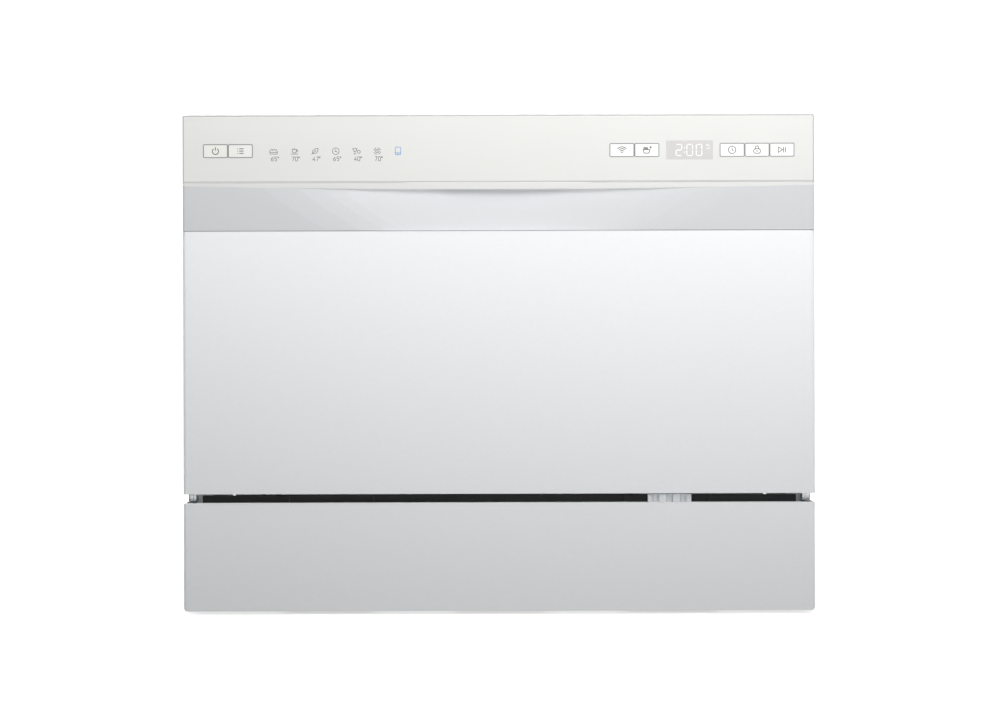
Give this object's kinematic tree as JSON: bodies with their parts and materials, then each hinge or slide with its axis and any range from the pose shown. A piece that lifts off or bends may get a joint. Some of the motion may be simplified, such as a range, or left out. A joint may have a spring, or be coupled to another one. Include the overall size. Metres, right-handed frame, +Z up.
{
  "type": "countertop dishwasher",
  "caption": "Compact front-opening dishwasher for a worktop: drop-down door with scooped grip and button panel, sliding wire rack, spray arm and sump below a steel tub.",
  "frame": {"origin": "centre of the footprint at the worktop, under the feet", "axes": "+X to the right seen from the front, +Y to the back, +Z up; the door faces -Y"},
  "size_m": [0.55, 0.5, 0.435],
  "materials": {
    "wrapper_paint": "satin silver powder coat",
    "door_paint": "satin light silver paint",
    "galvanised_steel": "zinc coated sheet",
    "stainless": "brushed stainless",
    "spring_steel": "bright zinc",
    "black_plastic": "moulded matt",
    "dark_plastic": "moulded matt",
    "brown_plastic": "phenolic",
    "light_plastic": "moulded grey",
    "natural_plastic": "natural polypropylene",
    "white_plastic": "moulded white",
    "blue_plastic": "moulded blue",
    "basket_plastic": "moulded grey",
    "seal_rubber": "extruded",
    "hose_rubber": "moulded",
    "foot_rubber": "moulded",
    "fascia_plastic": "white moulded, satin gloss",
    "grip_silver": "silver lacquer",
    "display_lens": "tinted lens",
    "button_plastic": "moulded off-white",
    "board_green": "solder resist",
    "coated_wire": "nylon coated wire",
    "tine_wire": "blue grey nylon coated wire"
  },
  "bodies": {
    "cabinet": {"cabinet_wrapper": "wrapper_paint", "rear_cover": "galvanised_steel", "base_pan": "black_plastic", "kick_plate": "door_paint", "harness_guide": "light_plastic", "tub": "stainless", "door_seal": "seal_rubber", "rack_rails": "stainless", "sump": "dark_plastic", "flat_filter": "stainless", "wash_pump": "dark_plastic", "drain_pump": "brown_plastic", "flow_heater": "stainless", "water_softener": "natural_plastic", "air_break": "natural_plastic", "inlet_valve": "white_plastic", "drain_outlet": "black_plastic", "inner_hoses": "hose_rubber", "float_switch": "blue_plastic", "hinge_brackets": "galvanised_steel", "hinge_springs": "spring_steel", "door_strike": "spring_steel", "cord_gland": "black_plastic", "cabinet_screws": "spring_steel"},
    "door": {"door_outer_panel": "door_paint", "door_liner": "stainless", "control_fascia": "fascia_plastic", "handle_grip": "grip_silver", "display_window": "display_lens", "control_board": "board_green", "dispenser_body": "dark_plastic", "door_latch": "black_plastic", "hinge_arms": "galvanised_steel"},
    "rack": {"rack_cross_wires": "coated_wire", "rack_long_wires": "coated_wire"},
    "dispenser_lid": {"dispenser_lid": "light_plastic"},
    "rinse_cap": {"rinse_cap": "blue_plastic"},
    "latch_pawl": {"latch_pawl": "light_plastic"},
    "fold_tines": {"rack_tines": "tine_wire"},
    "cup_shelf": {"cup_shelf": "coated_wire"},
    "cutlery_basket": {"cutlery_basket": "basket_plastic"},
    "spray_arm": {"spray_arm": "light_plastic"},
    "filter_cup": {"filter_cup": "light_plastic"},
    "salt_cap": {"salt_cap": "blue_plastic"},
    "float": {"float": "white_plastic"},
    "foot_front_left": {"foot_front_left": "foot_rubber"},
    "foot_front_right": {"foot_front_right": "foot_rubber"},
    "foot_back_left": {"foot_back_left": "foot_rubber"},
    "foot_back_right": {"foot_back_right": "foot_rubber"},
    "button_power": {"button_power": "button_plastic"},
    "button_program": {"button_program": "button_plastic"},
    "button_wifi": {"button_wifi": "button_plastic"},
    "button_extra": {"button_extra": "button_plastic"},
    "button_delay": {"button_delay": "button_plastic"},
    "button_lock": {"button_lock": "button_plastic"},
    "button_start": {"button_start": "button_plastic"},
    "roller_front_left": {"roller_front_left": "white_plastic"},
    "roller_front_right": {"roller_front_right": "white_plastic"},
    "roller_back_left": {"roller_back_left": "white_plastic"},
    "roller_back_right": {"roller_back_right": "white_plastic"}
  },
  "joints": [
    {"name": "door_hinge", "type": "hinge", "parent": "cabinet", "child": "door", "pos_m": [0, -0.244, 0.1035], "axis": [1, 0, 0], "range_deg": [0, 90]},
    {"name": "rack_slide", "type": "slide", "parent": "cabinet", "child": "rack", "axis": [0, -1, 0], "range_m": [0, 0.211]},
    {"name": "roller_front_left_spin", "type": "hinge", "parent": "rack", "child": "roller_front_left", "pos_m": [-0.2372, 0.045, 0.299], "axis": [1, 0, 0], "continuous": true},
    {"name": "roller_back_left_spin", "type": "hinge", "parent": "rack", "child": "roller_back_left", "pos_m": [-0.2372, 0.15, 0.299], "axis": [1, 0, 0], "continuous": true},
    {"name": "roller_front_right_spin", "type": "hinge", "parent": "rack", "child": "roller_front_right", "pos_m": [0.2372, 0.045, 0.299], "axis": [1, 0, 0], "continuous": true},
    {"name": "roller_back_right_spin", "type": "hinge", "parent": "rack", "child": "roller_back_right", "pos_m": [0.2372, 0.15, 0.299], "axis": [1, 0, 0], "continuous": true},
    {"name": "cup_shelf_hinge", "type": "hinge", "parent": "rack", "child": "cup_shelf", "pos_m": [-0.2163, 0, 0.293], "axis": [0, -1, 0], "range_deg": [0, 80]},
    {"name": "tine_fold", "type": "hinge", "parent": "rack", "child": "fold_tines", "pos_m": [0, 0.07786, 0.1982], "axis": [-1, 0, 0], "range_deg": [0, 90]},
    {"name": "basket_lift", "type": "slide", "parent": "rack", "child": "cutlery_basket", "axis": [0, 0, 1], "range_m": [0, 0.07]},
    {"name": "spray_arm_spin", "type": "hinge", "parent": "cabinet", "child": "spray_arm", "pos_m": [0, 0.002, 0.145], "axis": [0, 0, 1], "continuous": true},
    {"name": "filter_turn", "type": "hinge", "parent": "cabinet", "child": "filter_cup", "pos_m": [0, -0.044, 0.12], "axis": [0, 0, 1], "range_deg": [0, 90]},
    {"name": "salt_cap_turn", "type": "hinge", "parent": "cabinet", "child": "salt_cap", "pos_m": [-0.168, 0.118, 0.13], "axis": [0, 0, 1], "range_deg": [0, 540]},
    {"name": "float_lift", "type": "slide", "parent": "cabinet", "child": "float", "axis": [0, 0, 1], "range_m": [0, 0.01]},
    {"name": "dispenser_lid_slide", "type": "slide", "parent": "door", "child": "dispenser_lid", "axis": [-1, 0, 0], "range_m": [0, 0.03]},
    {"name": "rinse_cap_turn", "type": "hinge", "parent": "door", "child": "rinse_cap", "pos_m": [0.102, -0.217, 0.28], "axis": [0, 1, 0], "range_deg": [0, 90]},
    {"name": "latch_pawl_hinge", "type": "hinge", "parent": "door", "child": "latch_pawl", "pos_m": [0, -0.229, 0.424], "axis": [1, 0, 0], "range_deg": [0, 5], "stiffness_Nm_per_rad": 0.05},
    {"name": "button_power_press", "type": "slide", "parent": "door", "child": "button_power", "axis": [0, 1, 0], "range_m": [0, 0.0008], "stiffness_N_per_m": 500},
    {"name": "button_program_press", "type": "slide", "parent": "door", "child": "button_program", "axis": [0, 1, 0], "range_m": [0, 0.0008], "stiffness_N_per_m": 500},
    {"name": "button_wifi_press", "type": "slide", "parent": "door", "child": "button_wifi", "axis": [0, 1, 0], "range_m": [0, 0.0008], "stiffness_N_per_m": 500},
    {"name": "button_extra_press", "type": "slide", "parent": "door", "child": "button_extra", "axis": [0, 1, 0], "range_m": [0, 0.0008], "stiffness_N_per_m": 500},
    {"name": "button_delay_press", "type": "slide", "parent": "door", "child": "button_delay", "axis": [0, 1, 0], "range_m": [0, 0.0008], "stiffness_N_per_m": 500},
    {"name": "button_lock_press", "type": "slide", "parent": "door", "child": "button_lock", "axis": [0, 1, 0], "range_m": [0, 0.0008], "stiffness_N_per_m": 500},
    {"name": "button_start_press", "type": "slide", "parent": "door", "child": "button_start", "axis": [0, 1, 0], "range_m": [0, 0.0008], "stiffness_N_per_m": 500},
    {"name": "foot_front_left_turn", "type": "hinge", "parent": "cabinet", "child": "foot_front_left", "pos_m": [-0.235, -0.175, 0.01], "axis": [0, 0, 1], "continuous": true},
    {"name": "foot_front_right_turn", "type": "hinge", "parent": "cabinet", "child": "foot_front_right", "pos_m": [0.235, -0.175, 0.01], "axis": [0, 0, 1], "continuous": true},
    {"name": "foot_back_left_turn", "type": "hinge", "parent": "cabinet", "child": "foot_back_left", "pos_m": [-0.235, 0.19, 0.01], "axis": [0, 0, 1], "continuous": true},
    {"name": "foot_back_right_turn", "type": "hinge", "parent": "cabinet", "child": "foot_back_right", "pos_m": [0.235, 0.19, 0.01], "axis": [0, 0, 1], "continuous": true}
  ],
  "couplings": [
    {"joint": "rack_slide", "follows": "door_hinge", "m_per_rad": 0.134},
    {"joint": "roller_front_left_spin", "follows": "door_hinge", "ratio": 12.182},
    {"joint": "roller_back_left_spin", "follows": "door_hinge", "ratio": 12.182},
    {"joint": "roller_front_right_spin", "follows": "door_hinge", "ratio": 12.182},
    {"joint": "roller_back_right_spin", "follows": "door_hinge", "ratio": 12.182}
  ]
}
